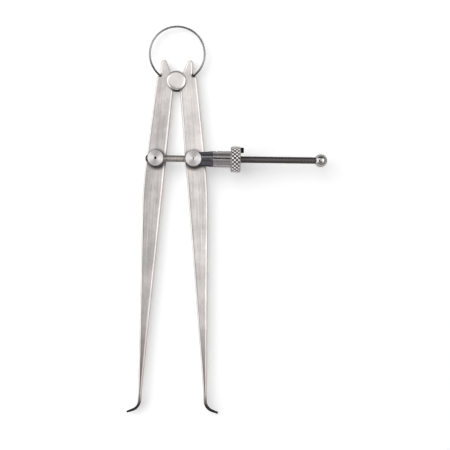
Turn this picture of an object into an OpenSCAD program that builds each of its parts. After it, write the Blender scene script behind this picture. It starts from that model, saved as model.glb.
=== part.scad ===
// Inside spring caliper, lying on a table: two flat tapered steel legs with feet turned outward hang
// on a spool stud, a round-wire bow presses their ears apart, and a screw with a split nut sets them.
// X runs across to the right, Y along the caliper towards the bow, and Z up from the table.
// The origin is on the stud's axis at the table. Sizes are in millimetres.

/* [Legs] */
// Reach from the stud's axis to the level of the foot tips
leg_len = 149.6; // [120:0.1:190]
// Thickness of the flat legs
leg_t = 2.6; // [2:0.1:3.6]
// Width of a leg level with the stud
leg_root_w = 8.35; // [7.5:0.05:9]
// Width of a leg where its two straight outer edges would meet
leg_w = 9.5; // [9:0.05:11]
// Distance below the stud at which the taper begins
taper_y = 48; // [42:0.5:60]
// Length over which the outer edge is rounded into its taper, as a difference of widths
taper_blend = 1.2; // [0.4:0.1:2]
// Radius of the rounded edges, front and back
edge_r = 1.1; // [0.4:0.05:1.2]
// Half the gap that the straight inner edges would leave at the stud's axis
gap_root = 1.05; // [0.6:0.05:1.4]
// Angle of each inner edge from the centre line
splay = 5.18; // [4:0.02:9]

/* [Feet] */
// Width of a leg at the ankle, where the foot begins to turn
ankle_w = 1.5; // [1:0.05:2]
// Centre-line radius of the foot's bend
foot_r = 4.7; // [3:0.1:8]
// Angle through which the foot turns outward
foot_turn = 70; // [40:1:85]
// Straight length of the toe past the bend
toe_len = 2.9; // [1:0.1:6]
// Height of the toe in the plane of the legs
toe_w = 0.6; // [0.5:0.05:1.2]
// Thickness of the toe across the plane of the legs
toe_t = 1.7; // [1:0.1:2]

/* [Ears] */
// Height of the ears above the stud's axis
ear_h = 9.6; // [7:0.1:11]
// Distance of an ear's outer edge from the centre line
ear_x = 7.4; // [6.5:0.05:7.6]
// Lean of an ear's inner edge from the centre line
ear_lean = 22; // [18:0.5:24]
// Height of the shoulder beside each ear
shoulder_y = 2.2; // [0.5:0.1:3]
// Radius of the shoulder's outer corner
shoulder_r = 1.2; // [0.6:0.1:1.6]
// Radius of the round seat for the bow's end
notch_r = 0.65; // [0.6:0.05:0.9]

/* [Stud] */
// Diameter of the stud's front head and back flange
head_d = 8.7; // [7.5:0.05:10]
// Diameter of the stud's neck, on which both legs turn
neck_d = 5.4; // [4.6:0.1:6]
// Thickness of the stud's back flange
flange_t = 0.9; // [0.7:0.1:1.6]
// Straight height of the front head's rim
head_rim = 0.8; // [0.5:0.1:1.5]
// Height of the front head's rounded crown
head_crown = 0.8; // [0.4:0.1:1.2]
// Diameter of the flat on top of the crown
head_flat_d = 6; // [4:0.1:7]

/* [Bow] */
// Radius of the bow to the middle of its wire
bow_r = 12.4; // [10.5:0.1:16]
// Diameter of the bow's wire
bow_d = 0.9; // [0.7:0.05:1.1]

/* [Posts] */
// Distance of the posts below the stud's axis
post_drop = 35.45; // [28:0.05:40]
// Distance of a post's axis from its leg's inner edge
post_edge = 4.08; // [3.8:0.02:4.8]
// Diameter of a post's drum
drum_d = 7.1; // [6:0.1:7.8]
// Height of a drum's top above the screw
drum_cap = 1.3; // [0.9:0.1:2.5]
// Chamfer on a drum's edges
drum_chamfer = 0.35; // [0.2:0.05:0.6]
// Diameter of the shank that turns in the leg
shank_d = 3.8; // [3:0.1:4.4]
// Diameter of the washer that the shank is riveted over
washer_d = 6.4; // [5.6:0.1:7.4]
// Diameter of the pin that locks the screw in the left post
pin_d = 1.2; // [0.8:0.1:1.4]
// Depth of the locking pin's end below the drum's top
pin_sink = 0.5; // [0.3:0.1:0.8]

/* [Screw] */
// Diameter of the screw over its thread
screw_d = 3; // [2.4:0.1:3.4]
// Length of the screw from the left post's axis to the middle of its ball
screw_reach = 73.1; // [62:0.1:100]
// Length of the screw that stands out of the left post
screw_tail = 1.1; // [0.5:0.1:3]
// Diameter of the stop ball
ball_d = 5.6; // [4.6:0.1:7]
// Diameter of the spigot that the ball is pressed on
spigot_d = 2.2; // [1.6:0.1:2.3]

/* [Nut] */
// Length of the cup from the right post's drum to the nut
cup_len = 5; // [4:0.1:8]
// Diameter of the cup at the post
cup_d = 6; // [5.4:0.1:6.6]
// Diameter of the cup at the nut, and of the nut's body
nut_d = 7.1; // [6.4:0.1:8]
// Length of the nut's body
nut_len = 7.8; // [5:0.1:12]
// Length of the nut's tapered nose inside the cup
nose_len = 3.6; // [2:0.1:3.8]
// Diameter of the nose where it leaves the body
nose_d = 5.4; // [5:0.1:5.8]
// Diameter of the nose at its end
nose_tip_d = 4.4; // [4:0.1:4.8]
// Width of the lengthwise slits in the nut
slit_w = 0.9; // [0.6:0.1:1.8]
// Diameter of the nut's finger flange
grip_d = 11.6; // [9.5:0.1:13.6]
// Length of the nut's finger flange
grip_len = 4.4; // [3:0.1:7]
// Chamfer on the finger flange's edges
grip_chamfer = 0.7; // [0.3:0.1:1.2]
// Diameter of the round lug on the nut's end
lug_d = 2.4; // [1.6:0.1:2.6]
// Length of the lug outside the nut
lug_out = 1.4; // [0.8:0.1:2.4]
// Distance of the lug from the screw's axis
lug_off = 4.1; // [3.6:0.1:4.2]

/* [Fits] */
// Gap between faces that turn or slide past each other
slide_gap = 0.1; // [0.05:0.01:0.2]
// Radial clearance of a pin that turns or slides in its hole
bore_gap = 0.05; // [0.02:0.01:0.1]
// Radial clearance of a pin that is pressed or riveted in its hole
press_gap = 0.02; // [0.01:0.01:0.05]
// Gap between the legs' front faces and the nut above them
swing_gap = 0.3; // [0.2:0.05:0.8]

/* [Hidden] */

round_fn = 64;
ring_fn = 128;
// Overshoot of a cutter past the face that it cuts
cut = 1;

// Levels above the table
leg_z0 = flange_t + slide_gap;
leg_z1 = leg_z0 + leg_t;
leg_mid_z = leg_z0 + leg_t / 2;
head_z0 = leg_z1 + slide_gap;
screw_z = leg_z1 + swing_gap + nut_d / 2;
drum_top = screw_z + screw_d / 2 + drum_cap;

// Leg: edges, taper and foot, with y counted from the stud's axis
ankle_y = -leg_len + foot_r * sin(foot_turn) + toe_len * cos(foot_turn);
leg_steps = 26;
foot_steps = 9;
round_steps = 6;
corner_steps = 4;
// Height of the step from the ear's foot to the shoulder
step_y = 0.12;
// Angle at which a rounded end closes with a small flat
tip_start = 80;
// Largest share of a section's width or thickness that its corner radius takes
thin_share = 0.48;

function inner_x(y) = gap_root + abs(y) * tan(y < 0 ? splay : ear_lean);
function soft_min(a, b, k) = min(a, b) - pow(max(k - abs(a - b), 0), 2) / (4 * k);
function root_line(y) = leg_root_w + (leg_w - leg_root_w) * max(-y, 0) / taper_y;
function taper_line(y) = ankle_w + (leg_w - ankle_w) * (y - ankle_y) / (-taper_y - ankle_y);
function width_at(y) = soft_min(root_line(y), taper_line(y), taper_blend);
// Above the stud, the outer edge goes on in the line that it has below
outer_lean = tan(splay) + (leg_w - leg_root_w) / taper_y;
function outer_x(y) =
  y < 0 ? inner_x(y) + width_at(y) : gap_root + leg_root_w - y * outer_lean;

// Ear: its round tip touches the outer edge and the leaning inner edge
ear_tip_r = (ear_x - gap_root - ear_h * tan(ear_lean)) / (2 - tan(ear_lean));
ear_tip_y = ear_h - ear_tip_r;
ear_tip_x = ear_x - ear_tip_r;

// A station is [middle x, middle y, turn of the section, width, thickness]
function span(y, inner, outer) = [-(inner + outer) / 2, y, 0, outer - inner, leg_t];
ear_tip_stations = [
  for (i = [0 : round_steps])
    let (a = tip_start * (1 - i / round_steps))
    [-ear_tip_x, ear_tip_y + ear_tip_r * sin(a), 0, 2 * ear_tip_r * cos(a), leg_t]
];
ear_base = shoulder_y + step_y;
ear_stations = [
  for (i = [1 : round_steps])
    let (y = ear_tip_y + (ear_base - ear_tip_y) * i / round_steps)
    span(y, inner_x(y), ear_x)
];
shoulder_stations = [
  for (i = [0 : round_steps])
    let (
      a = 90 * i / round_steps,
      y = shoulder_y - shoulder_r * (1 - cos(a)),
      out = outer_x(shoulder_y - shoulder_r) - shoulder_r * (1 - sin(a))
    )
    span(y, inner_x(y), out)
];
blade_top = min(shoulder_y - shoulder_r, 0);
blade_start = shoulder_y > shoulder_r ? 0 : 1;
blade_stations = [
  for (i = [blade_start : leg_steps])
    let (y = blade_top + (ankle_y - blade_top) * i / leg_steps)
    span(y, inner_x(y), outer_x(y))
];
ankle_x = inner_x(ankle_y) + ankle_w / 2;
function foot_point(a, s) = [
  -ankle_x - foot_r * (1 - cos(a)) - s * sin(a),
  ankle_y - foot_r * sin(a) - s * cos(a)
];
function foot_station(a, s, share, end) =
  let (p = foot_point(a, s), w = ankle_w + (toe_w - ankle_w) * share)
  [p[0], p[1], a, w * end, (leg_t + (toe_t - leg_t) * share) * end];
foot_run = foot_r * foot_turn * PI / 180 + toe_len;
bend_share = 1 - toe_len / foot_run;
bend_stations = [
  for (i = [1 : foot_steps])
    foot_station(foot_turn * i / foot_steps, 0, bend_share * i / foot_steps, 1)
];
toe_stations = [
  for (i = [0 : round_steps])
    let (a = tip_start * i / round_steps)
    foot_station(foot_turn, toe_len - toe_w / 2 * (1 - sin(a)), 1, cos(a))
];
leg_stations = concat(
  ear_tip_stations, ear_stations, shoulder_stations, blade_stations, bend_stations, toe_stations
);

// A section is a rounded rectangle, across the leg and through its thickness
function section(w, t) =
  let (r = min(edge_r, w * thin_share, t * thin_share))
  [
    for (q = [0 : 3], i = [0 : corner_steps])
      let (
        a = 90 * (q + i / corner_steps),
        side = q == 0 || q == 3 ? 1 : -1,
        face = q < 2 ? 1 : -1
      )
      [side * (w / 2 - r) + r * cos(a), face * (t / 2 - r) + r * sin(a)]
  ];
function leg_ring(s) = [
  for (p = section(s[3], s[4]))
    [s[0] + p[0] * cos(s[2]), s[1] - p[0] * sin(s[2]), leg_mid_z + p[1]]
];
ring_n = 4 * (corner_steps + 1);
leg_points = [for (s = leg_stations) each leg_ring(s)];
leg_end = (len(leg_stations) - 1) * ring_n;
leg_sides = [
  for (i = [0 : len(leg_stations) - 2], j = [0 : ring_n - 1])
    let (a = i * ring_n + j, b = i * ring_n + (j + 1) % ring_n)
    each [[a, b, b + ring_n], [a, b + ring_n, a + ring_n]]
];
leg_caps = [
  [for (j = [ring_n - 1 : -1 : 0]) j],
  [for (j = [0 : ring_n - 1]) leg_end + j]
];

// Bow: its ends lie in the seats beside the ears
notch_x = ear_x + slide_gap;
notch_y = shoulder_y + notch_r / 2;
bow_y = notch_y + sqrt(bow_r * bow_r - notch_x * notch_x);
bow_start = -acos(notch_x / bow_r);
bow_sweep = 180 - 2 * bow_start;

// Posts, screw and nut
post_x = inner_x(-post_drop) + post_edge;
drum_z0 = leg_z1 + slide_gap;
screw_start = -post_x - drum_d / 2 - screw_tail;
ball_x = screw_reach - post_x;
ball_seat = sqrt(ball_d * ball_d - screw_d * screw_d) / 2;
cup_end = post_x + drum_d / 2 + cup_len;
nut_start = cup_end + slide_gap;
grip_start = nut_start + nut_len;
nut_end = grip_start + grip_len;
nut_bore_r = screw_d / 2 + bore_gap;
groove_w = 0.5;
groove_deep = 0.3;
groove_at = 1.3;
lug_sink = 1.2;
lug_round = 0.3;
screw_chamfer = 0.4;
washer_chamfer = 0.25;
rim_chamfer = 0.3;
centre_mark_d = 0.7;

steel = [0.74, 0.72, 0.71];
bright = [0.86, 0.86, 0.87];
wire_grey = [0.32, 0.32, 0.33];
screw_grey = [0.36, 0.36, 0.37];
oxide = [0.08, 0.08, 0.09];

// Turns what is drawn along Z to lie along the screw
module along_screw(x) {
  translate([x, -post_drop, screw_z]) rotate([0, 90, 0]) children();
}

// A leg, drawn for the left side
module leg() {
  difference() {
    polyhedron(leg_points, concat(leg_caps, leg_sides));
    translate([0, 0, leg_z0 - cut])
      cylinder(r = neck_d / 2 + bore_gap, h = leg_t + 2 * cut, $fn = round_fn);
    translate([-post_x, -post_drop, leg_z0 - cut])
      cylinder(r = shank_d / 2 + bore_gap, h = leg_t + 2 * cut, $fn = round_fn);
    translate([-notch_x, notch_y, leg_z0 - cut])
      cylinder(r = notch_r, h = leg_t + 2 * cut, $fn = round_fn);
  }
}

// A post: a drum in front of the leg and a shank through it to the table side
module post(bore_r) {
  r = drum_d / 2;
  c = drum_chamfer;
  difference() {
    rotate_extrude($fn = round_fn)
      polygon([
        [0, 0], [shank_d / 2, 0], [shank_d / 2, drum_z0], [r - c, drum_z0], [r, drum_z0 + c],
        [r, drum_top - c], [r - c, drum_top], [0, drum_top]
      ]);
    translate([-drum_d, 0, screw_z])
      rotate([0, 90, 0]) cylinder(r = bore_r, h = 2 * drum_d, $fn = round_fn);
  }
}

// The washer that holds a post's shank behind the leg
module washer() {
  r = washer_d / 2;
  c = washer_chamfer;
  difference() {
    rotate_extrude($fn = round_fn)
      polygon([[0, 0], [r - c, 0], [r, c], [r, flange_t], [0, flange_t]]);
    translate([0, 0, -cut])
      cylinder(r = shank_d / 2 + press_gap, h = flange_t + 2 * cut, $fn = round_fn);
  }
}

module left_leg() {
  color(steel) leg();
}

module right_leg() {
  color(steel) mirror([1, 0, 0]) leg();
}

module fulcrum_stud() {
  r = head_d / 2;
  flat_r = head_flat_d / 2;
  crown = [
    for (i = [0 : round_steps])
      let (a = 90 * i / round_steps)
      [flat_r + (r - flat_r) * cos(a), head_z0 + head_rim + head_crown * sin(a)]
  ];
  color(bright)
    rotate_extrude($fn = round_fn)
      polygon(concat(
        [
          [0, 0], [r - rim_chamfer, 0], [r, rim_chamfer], [r, flange_t], [neck_d / 2, flange_t],
          [neck_d / 2, head_z0], [r, head_z0]
        ],
        crown,
        [[0, head_z0 + head_rim + head_crown]]
      ));
}

module bow_spring() {
  color(wire_grey)
    translate([0, bow_y, leg_mid_z])
      rotate([0, 0, bow_start])
        rotate_extrude(angle = bow_sweep, $fn = ring_fn)
          translate([bow_r, 0]) circle(d = bow_d, $fn = round_fn);
}

module left_post() {
  color(bright)
    translate([-post_x, -post_drop, 0])
      difference() {
        post(screw_d / 2 + press_gap);
        translate([0, 0, screw_z])
          cylinder(r = pin_d / 2 + press_gap, h = drum_top, $fn = round_fn);
      }
}

module right_post() {
  color(bright)
    translate([post_x, -post_drop, 0])
      difference() {
        post(screw_d / 2 + bore_gap);
        translate([0, 0, drum_top - centre_mark_d / 2])
          cylinder(d1 = 0, d2 = 2 * centre_mark_d, h = centre_mark_d, $fn = round_fn);
      }
}

module left_post_washer() {
  color(steel) translate([-post_x, -post_drop, 0]) washer();
}

module right_post_washer() {
  color(steel) translate([post_x, -post_drop, 0]) washer();
}

module adjusting_screw() {
  r = screw_d / 2;
  c = screw_chamfer;
  shoulder = ball_x - ball_seat - screw_start;
  color(screw_grey)
    difference() {
      along_screw(screw_start)
        rotate_extrude($fn = round_fn)
          polygon([
            [0, 0], [r - c, 0], [r, c], [r, shoulder], [spigot_d / 2, shoulder],
            [spigot_d / 2, ball_x - screw_start], [0, ball_x - screw_start]
          ]);
      translate([-post_x, -post_drop, screw_z])
        cylinder(r = pin_d / 2 + press_gap, h = screw_d, $fn = round_fn);
    }
}

module stop_ball() {
  color(bright)
    difference() {
      translate([ball_x, -post_drop, screw_z]) sphere(d = ball_d, $fn = round_fn);
      along_screw(ball_x - ball_d)
        cylinder(r = screw_d / 2 + press_gap, h = ball_d - ball_seat, $fn = round_fn);
      along_screw(ball_x - ball_d)
        cylinder(r = spigot_d / 2 + press_gap, h = ball_d, $fn = round_fn);
    }
}

module screw_pin() {
  color(oxide)
    translate([-post_x, -post_drop, screw_z])
      cylinder(d = pin_d, h = drum_top - pin_sink - screw_z, $fn = round_fn);
}

module nut_cup() {
  // The nose's cone is carried on to the cup's end, a sliding gap wider than the nose
  slope = (nose_d - nose_tip_d) / 2 / nose_len;
  deep = nose_len + slide_gap;
  mouth_r = nose_d / 2 + slide_gap;
  color(oxide)
    difference() {
      along_screw(post_x)
        rotate_extrude($fn = round_fn)
          polygon([
            [screw_d / 2 + bore_gap, 0], [cup_d / 2, 0], [cup_d / 2, drum_d / 2],
            [nut_d / 2, cup_end - post_x], [mouth_r, cup_end - post_x],
            [mouth_r - slope * deep, cup_end - post_x - deep],
            [screw_d / 2 + bore_gap, cup_end - post_x - deep]
          ]);
      translate([post_x, -post_drop, 0])
        cylinder(r = drum_d / 2 + slide_gap, h = 2 * drum_top, $fn = round_fn);
    }
}

module spring_nut() {
  r = nut_d / 2;
  grip_r = grip_d / 2;
  c = grip_chamfer;
  nose_x = nut_start - nose_len;
  body_x = nut_start - nose_x;
  groove_x = body_x + groove_at;
  grip_x = grip_start - nose_x;
  end_x = nut_end - nose_x;
  color(steel)
    difference() {
      along_screw(nose_x)
        rotate_extrude($fn = round_fn)
          polygon([
            [nut_bore_r, 0], [nose_tip_d / 2, 0], [nose_d / 2, body_x], [r, body_x],
            [r, groove_x], [r - groove_deep, groove_x], [r - groove_deep, groove_x + groove_w],
            [r, groove_x + groove_w], [r, grip_x], [grip_r - c, grip_x], [grip_r, grip_x + c],
            [grip_r, end_x - c], [grip_r - c, end_x], [nut_bore_r, end_x]
          ]);
      translate([nose_x - cut, -post_drop - slit_w / 2, screw_z - nut_d])
        cube([grip_start - nose_x + cut, slit_w, 2 * nut_d]);
      translate([0, lug_off, 0])
        along_screw(nut_end - lug_sink)
          cylinder(r = lug_d / 2 + press_gap, h = lug_sink + cut, $fn = round_fn);
    }
}

module nut_lug() {
  r = lug_d / 2;
  long = lug_sink + lug_out;
  color(oxide)
    translate([0, lug_off, 0])
      along_screw(nut_end - lug_sink)
        rotate_extrude($fn = round_fn)
          polygon([[0, 0], [r, 0], [r, long - lug_round], [r - lug_round, long], [0, long]]);
}

left_leg();
right_leg();
fulcrum_stud();
bow_spring();
left_post();
right_post();
left_post_washer();
right_post_washer();
adjusting_screw();
stop_ball();
screw_pin();
nut_cup();
spring_nut();
nut_lug();
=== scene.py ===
"""Inside spring caliper: its visible pieces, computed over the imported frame, and their stage."""

import math

import bmesh
import bpy
import numpy as np
from bpy.props import FloatProperty, FloatVectorProperty, IntProperty, PointerProperty
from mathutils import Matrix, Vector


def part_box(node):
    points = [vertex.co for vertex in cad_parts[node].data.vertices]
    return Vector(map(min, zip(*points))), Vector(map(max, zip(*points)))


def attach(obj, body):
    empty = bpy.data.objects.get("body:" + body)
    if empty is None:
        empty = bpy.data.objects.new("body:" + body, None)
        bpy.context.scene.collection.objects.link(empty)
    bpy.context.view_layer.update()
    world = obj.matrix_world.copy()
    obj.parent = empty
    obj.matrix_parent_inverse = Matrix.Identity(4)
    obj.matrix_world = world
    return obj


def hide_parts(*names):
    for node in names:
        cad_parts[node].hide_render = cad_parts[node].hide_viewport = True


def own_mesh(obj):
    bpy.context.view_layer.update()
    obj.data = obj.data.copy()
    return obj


bl_info = {
    "name": "Inside spring caliper",
    "version": (1, 0, 0),
    "blender": (4, 5, 0),
    "location": "View3D > Sidebar > Caliper",
    "description": "Builds the pieces of an inside spring caliper and the table it lies on",
    "category": "Add Mesh",
}

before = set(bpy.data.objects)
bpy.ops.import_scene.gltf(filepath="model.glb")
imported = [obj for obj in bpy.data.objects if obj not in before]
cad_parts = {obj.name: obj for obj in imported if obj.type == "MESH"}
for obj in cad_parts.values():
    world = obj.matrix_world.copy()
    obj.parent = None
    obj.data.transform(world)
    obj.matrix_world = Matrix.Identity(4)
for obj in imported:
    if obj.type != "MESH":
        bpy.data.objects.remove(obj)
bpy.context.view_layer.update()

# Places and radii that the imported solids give, in metres


def corners(node):
    """Lowest and highest corner of a node's solid, as arrays."""
    low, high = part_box(node)
    return np.array(low), np.array(high)


_, STUD_HIGH = corners("fulcrum_stud")
LEG_LOW, LEG_HIGH = corners("left_leg")
POST_LOW, POST_HIGH = corners("right_post")
WASHER_LOW, WASHER_HIGH = corners("right_post_washer")
SCREW_LOW, SCREW_HIGH = corners("adjusting_screw")
BALL_LOW, BALL_HIGH = corners("stop_ball")
PIN_LOW, PIN_HIGH = corners("screw_pin")
CUP_LOW, CUP_HIGH = corners("nut_cup")
NUT_LOW, NUT_HIGH = corners("spring_nut")
LUG_LOW, LUG_HIGH = corners("nut_lug")
BOW_LOW, BOW_HIGH = corners("bow_spring")

POST_X = (POST_LOW + POST_HIGH)[0] / 2
SCREW_Y, SCREW_Z = (SCREW_LOW + SCREW_HIGH)[1:] / 2
LEG_MID_Z = (LEG_LOW + LEG_HIGH)[2] / 2
DRUM_R = (POST_HIGH - POST_LOW)[0] / 2
WASHER_R = (WASHER_HIGH - WASHER_LOW)[0] / 2
SCREW_R = (SCREW_HIGH - SCREW_LOW)[2] / 2
BALL_R = (BALL_HIGH - BALL_LOW)[2] / 2
PIN_R = (PIN_HIGH - PIN_LOW)[0] / 2
BODY_R = (CUP_HIGH - CUP_LOW)[1] / 2
GRIP_R = (NUT_HIGH - NUT_LOW)[2] / 2
LUG_R = (LUG_HIGH - LUG_LOW)[2] / 2
WIRE_R = (BOW_HIGH - BOW_LOW)[2] / 2
MM = 0.001
TURN = 2 * math.pi

# Length of the nut's knurled flange and of the bevels at its ends
GRIP_LENGTH = 4.4 * MM
GRIP_BEVEL = 0.7 * MM


def length(label, words, default, **more):
    """A size in metres, shown with the scene's unit of length."""
    return FloatProperty(name=label, description=words, default=float(default), unit="LENGTH",
                         precision=5, **more)


def angle(label, words, degrees):
    """An angle, shown in degrees."""
    return FloatProperty(name=label, description=words, default=math.radians(degrees),
                         subtype="ANGLE")


def colour(label, words, default):
    """A linear colour."""
    return FloatVectorProperty(name=label, description=words, default=default, subtype="COLOR",
                               min=0, max=1, size=3)


class CALIPER_PG_sizes(bpy.types.PropertyGroup):
    """Sizes of the caliper's visible forms."""

    leg_length: length("Leg length", "Distance from the stud down to the toes", 149.6 * MM)
    root_width: length("Root width", "Width of a leg level with the stud", 8.35 * MM)
    leg_width: length("Leg width", "Width of a leg where its outer edges would meet", 9.5 * MM)
    taper_start: length("Taper start", "Distance below the stud where the taper begins", 48 * MM)
    taper_blend: length("Taper blend", "Rounding of the outer edge into its taper", 1.2 * MM)
    edge_radius: length("Edge radius", "Radius of a leg's rounded edges", 1.1 * MM)
    root_gap: length("Root gap", "Half the gap of the inner edges at the stud", 1.05 * MM)
    splay: angle("Splay", "Angle of an inner edge from the centre line", 5.18)
    ankle_width: length("Ankle width", "Width of a leg where its foot begins", 1.5 * MM)
    foot_radius: length("Foot radius", "Centre-line radius of the foot's bend", 4.7 * MM)
    foot_turn: angle("Foot turn", "Angle through which the foot turns outward", 70)
    toe_length: length("Toe length", "Straight length of the toe", 2.9 * MM)
    toe_width: length("Toe width", "Height of the toe in the legs' plane", 0.6 * MM)
    toe_thickness: length("Toe thickness", "Thickness of the toe across that plane", 1.7 * MM)
    ear_outer: length("Ear outer edge", "Distance of an ear's outer edge from the middle", 7.4 * MM)
    ear_lean: angle("Ear lean", "Lean of an ear's inner edge", 22)
    shoulder_height: length("Shoulder height", "Height of the shoulder beside an ear", 2.2 * MM)
    shoulder_radius: length("Shoulder radius", "Radius of the shoulder's corner", 1.2 * MM)
    notch_radius: length("Notch radius", "Radius of the bow's seat", 0.65 * MM)
    neck_radius: length("Neck radius", "Radius of the stud's neck", 2.7 * MM)
    shank_radius: length("Shank radius", "Radius of a post's shank", 1.9 * MM)
    running_gap: length("Running gap", "Radial clearance of what turns or slides", 0.05 * MM)
    slide_gap: length("Slide gap", "Gap between faces that slide past each other", 0.1 * MM)
    thread_pitch: length("Thread pitch", "Pitch of the adjusting screw", 0.635 * MM)
    thread_depth: length("Thread depth", "Depth of the adjusting screw's thread", 0.13 * MM)
    knurl_count: IntProperty(name="Knurl count", description="Knurl ridges round the nut",
                             default=20, min=12, max=96)
    knurl_depth: length("Knurl depth", "Depth of the nut's diamond knurl", 0.36 * MM)


class CALIPER_PG_colours(bpy.types.PropertyGroup):
    """Colours of the caliper's finishes."""

    leg: colour("Leg", "Ground faces of the legs", (0.69, 0.65, 0.63))
    leg_edge: colour("Leg edge", "Rounded edges of the legs", (0.7, 0.67, 0.65))
    stud: colour("Stud", "Crowned head of the stud", (0.77, 0.72, 0.7))
    bright: colour("Bright steel", "Turned heads of the posts", (0.99, 0.96, 0.95))
    # Painted shade on the posts' drum sides and the stud below its crown, with a thin dark ring at each
    # post head's edge
    side_shade: colour("Dulled steel", "Sides of the posts and the stud", (0.13, 0.122, 0.12))
    ball: colour("Ball", "Polished stop ball", (0.43, 0.42, 0.415))
    screw: colour("Screw", "Bright thread between the posts", (0.56, 0.52, 0.475))
    # Darker tone of the thread beyond the nut, and painted shade on the stub at the screw's left end
    screw_oiled_and_stub_shade: colour("Oiled screw", "Darker thread beyond the nut", (0.15, 0.14, 0.14))
    # Painted shade in the roots of the screw's thread
    screw_root_shade: colour("Screw root", "Oil in the roots of the screw's thread", (0.02, 0.018, 0.016))
    wire: colour("Wire", "Drawn wire of the bow", (0.3, 0.295, 0.29))
    nut: colour("Nut", "Points of the nut's knurl", (1.0, 0.97, 0.97))
    nut_body: colour("Nut body", "Turned body of the nut", (0.46, 0.435, 0.44))
    nut_ring: colour("Nut ring", "Duller tool rings of the nut", (0.26, 0.245, 0.25))
    cup: colour("Cup", "Blackened cup, rubbed bright", (0.15, 0.142, 0.158))
    oxide: colour("Black oxide", "Blackened lug and pin", (0.012, 0.011, 0.012))
    # Painted shade: the toes' near-black colour stands in for the shade on their undersides
    toe: colour("Toe", "Tempered toes of the legs", (0.035, 0.032, 0.032))
    grazing: colour("Grazing tint", "What the metals keep of a reflection at a grazing angle",
                    (0.1, 0.1, 0.1))
    # Painted shade: dark in the bow's seats, round the posts' feet and towards the wire's ends
    contact_shade: colour("Grime", "Old oil in the bow's seats and round the posts", (0.03, 0.028, 0.027))
    table: colour("Table", "White table top", (0.93, 0.93, 0.93))


def sizes():
    """The caliper's sizes in the running scene."""
    return bpy.context.scene.caliper_sizes


def colours():
    """The caliper's colours in the running scene."""
    return bpy.context.scene.caliper_colours


def shaded(tone, share):
    """A colour times a share, which is one number or one for each channel."""
    return tuple(np.multiply(tone, share).tolist())


# Meshes from grids of points


def grid_mesh(name, points, coords, cap=False):
    """A mesh from a grid of points whose columns run round a closed section.

    Row i, column j joins row i + 1 and column j + 1, with the last column back to the first. coords
    gives each row's distance along and each column's distance round, as the UV map. cap closes both
    end rows.
    """
    rows, cols = points.shape[:2]
    index = np.arange(rows * cols).reshape(rows, cols)
    after = np.roll(index, -1, axis=1)
    quads = np.stack([index[:-1], after[:-1], after[1:], index[1:]], axis=-1).reshape(-1, 4)
    faces = quads.tolist()
    if cap:
        faces += [index[0, ::-1].tolist(), index[-1].tolist()]
    mesh = bpy.data.meshes.new(name)
    mesh.from_pydata(points.reshape(-1, 3), [], faces)
    along, round_ = coords
    u = np.broadcast_to(np.stack([round_[:-1], round_[1:], round_[1:], round_[:-1]], -1),
                        (rows - 1, cols, 4))
    v = np.broadcast_to(np.stack([along[:-1], along[:-1], along[1:], along[1:]], -1)[:, None],
                        (rows - 1, cols, 4))
    uv = np.zeros((len(mesh.loops), 2))
    uv[: quads.size] = np.stack([u, v], -1).reshape(-1, 2)
    mesh.uv_layers.new(name="surface").data.foreach_set("uv", uv.ravel())
    return mesh


# Degrees between faces past which an edge is shaded sharp
SHARP = 35
# Longest stretches of the turned profiles
STUD_STEP = 0.25 * MM
POST_STEP = 0.2 * MM
CUP_STEP = 0.3 * MM
NUT_STEP = 0.6 * MM
KNURL_STEP = 0.09 * MM
LUG_STEP = 0.2 * MM


def smooth(mesh):
    """Shades a mesh smooth up to the sharp angle."""
    mesh.polygons.foreach_set("use_smooth", np.ones(len(mesh.polygons), bool))
    mesh.set_sharp_from_angle(angle=math.radians(SHARP))
    return mesh


def tidy(mesh):
    """Merges the poles, points all faces outwards and shades the mesh."""
    work = bmesh.new()
    work.from_mesh(mesh)
    bmesh.ops.remove_doubles(work, verts=work.verts, dist=1e-7)
    bmesh.ops.recalc_face_normals(work, faces=work.faces)
    work.to_mesh(mesh)
    work.free()
    smooth(mesh).update()
    return mesh


def fillet(outline, radii, steps=6):
    """An outline with its corners rounded: each becomes an arc that is tangent to both its sides.

    The arc starts radius / tan(half the corner's angle) from the corner. A radius of 0 keeps it sharp.
    """
    outline = np.asarray(outline, float)
    made = [outline[:1]]
    for before, corner, after, radius in zip(outline, outline[1:], outline[2:], radii):
        if radius <= 0:
            made.append(corner[None])
            continue
        to_before = (before - corner) / np.linalg.norm(before - corner)
        to_after = (after - corner) / np.linalg.norm(after - corner)
        half = math.acos(np.clip(to_before @ to_after, -1, 1)) / 2
        middle = to_before + to_after
        centre = corner + middle / np.linalg.norm(middle) * radius / math.sin(half)
        start = corner + to_before * radius / math.tan(half) - centre
        end = corner + to_after * radius / math.tan(half) - centre
        share = np.linspace(0, 1, steps + 1)[:, None]
        swing = math.pi - 2 * half
        arc = (np.sin((1 - share) * swing) * start + np.sin(share * swing) * end) / math.sin(swing)
        made.append(centre + arc)
    made.append(outline[-1:])
    return np.concatenate(made)


def refine(profile, step):
    """A profile with points added, so that no stretch is longer than step.

    step is one length for all stretches, or one for each.
    """
    gaps = np.linalg.norm(np.diff(profile, axis=0), axis=1)
    counts = np.maximum(np.ceil(gaps / step), 1).astype(int)
    parts = [a + (b - a) * np.linspace(0, 1, count, endpoint=False)[:, None]
             for a, b, count in zip(profile, profile[1:], counts)]
    return np.concatenate(parts + [profile[-1:]])


def run_of(points):
    """Distance along a row of points, from its start, in millimetres."""
    return np.append(0, np.cumsum(np.linalg.norm(np.diff(points, axis=0), axis=1))) / MM


def round_of(radius, cols):
    """Distances round a circle at each of its columns and back at its start, in millimetres."""
    return np.linspace(0, TURN * radius / MM, cols + 1)


def plug(start, end, r):
    """Profile of a plain round plug."""
    return np.array([[start, 0], [start, r], [end, r], [end, 0]])


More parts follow.
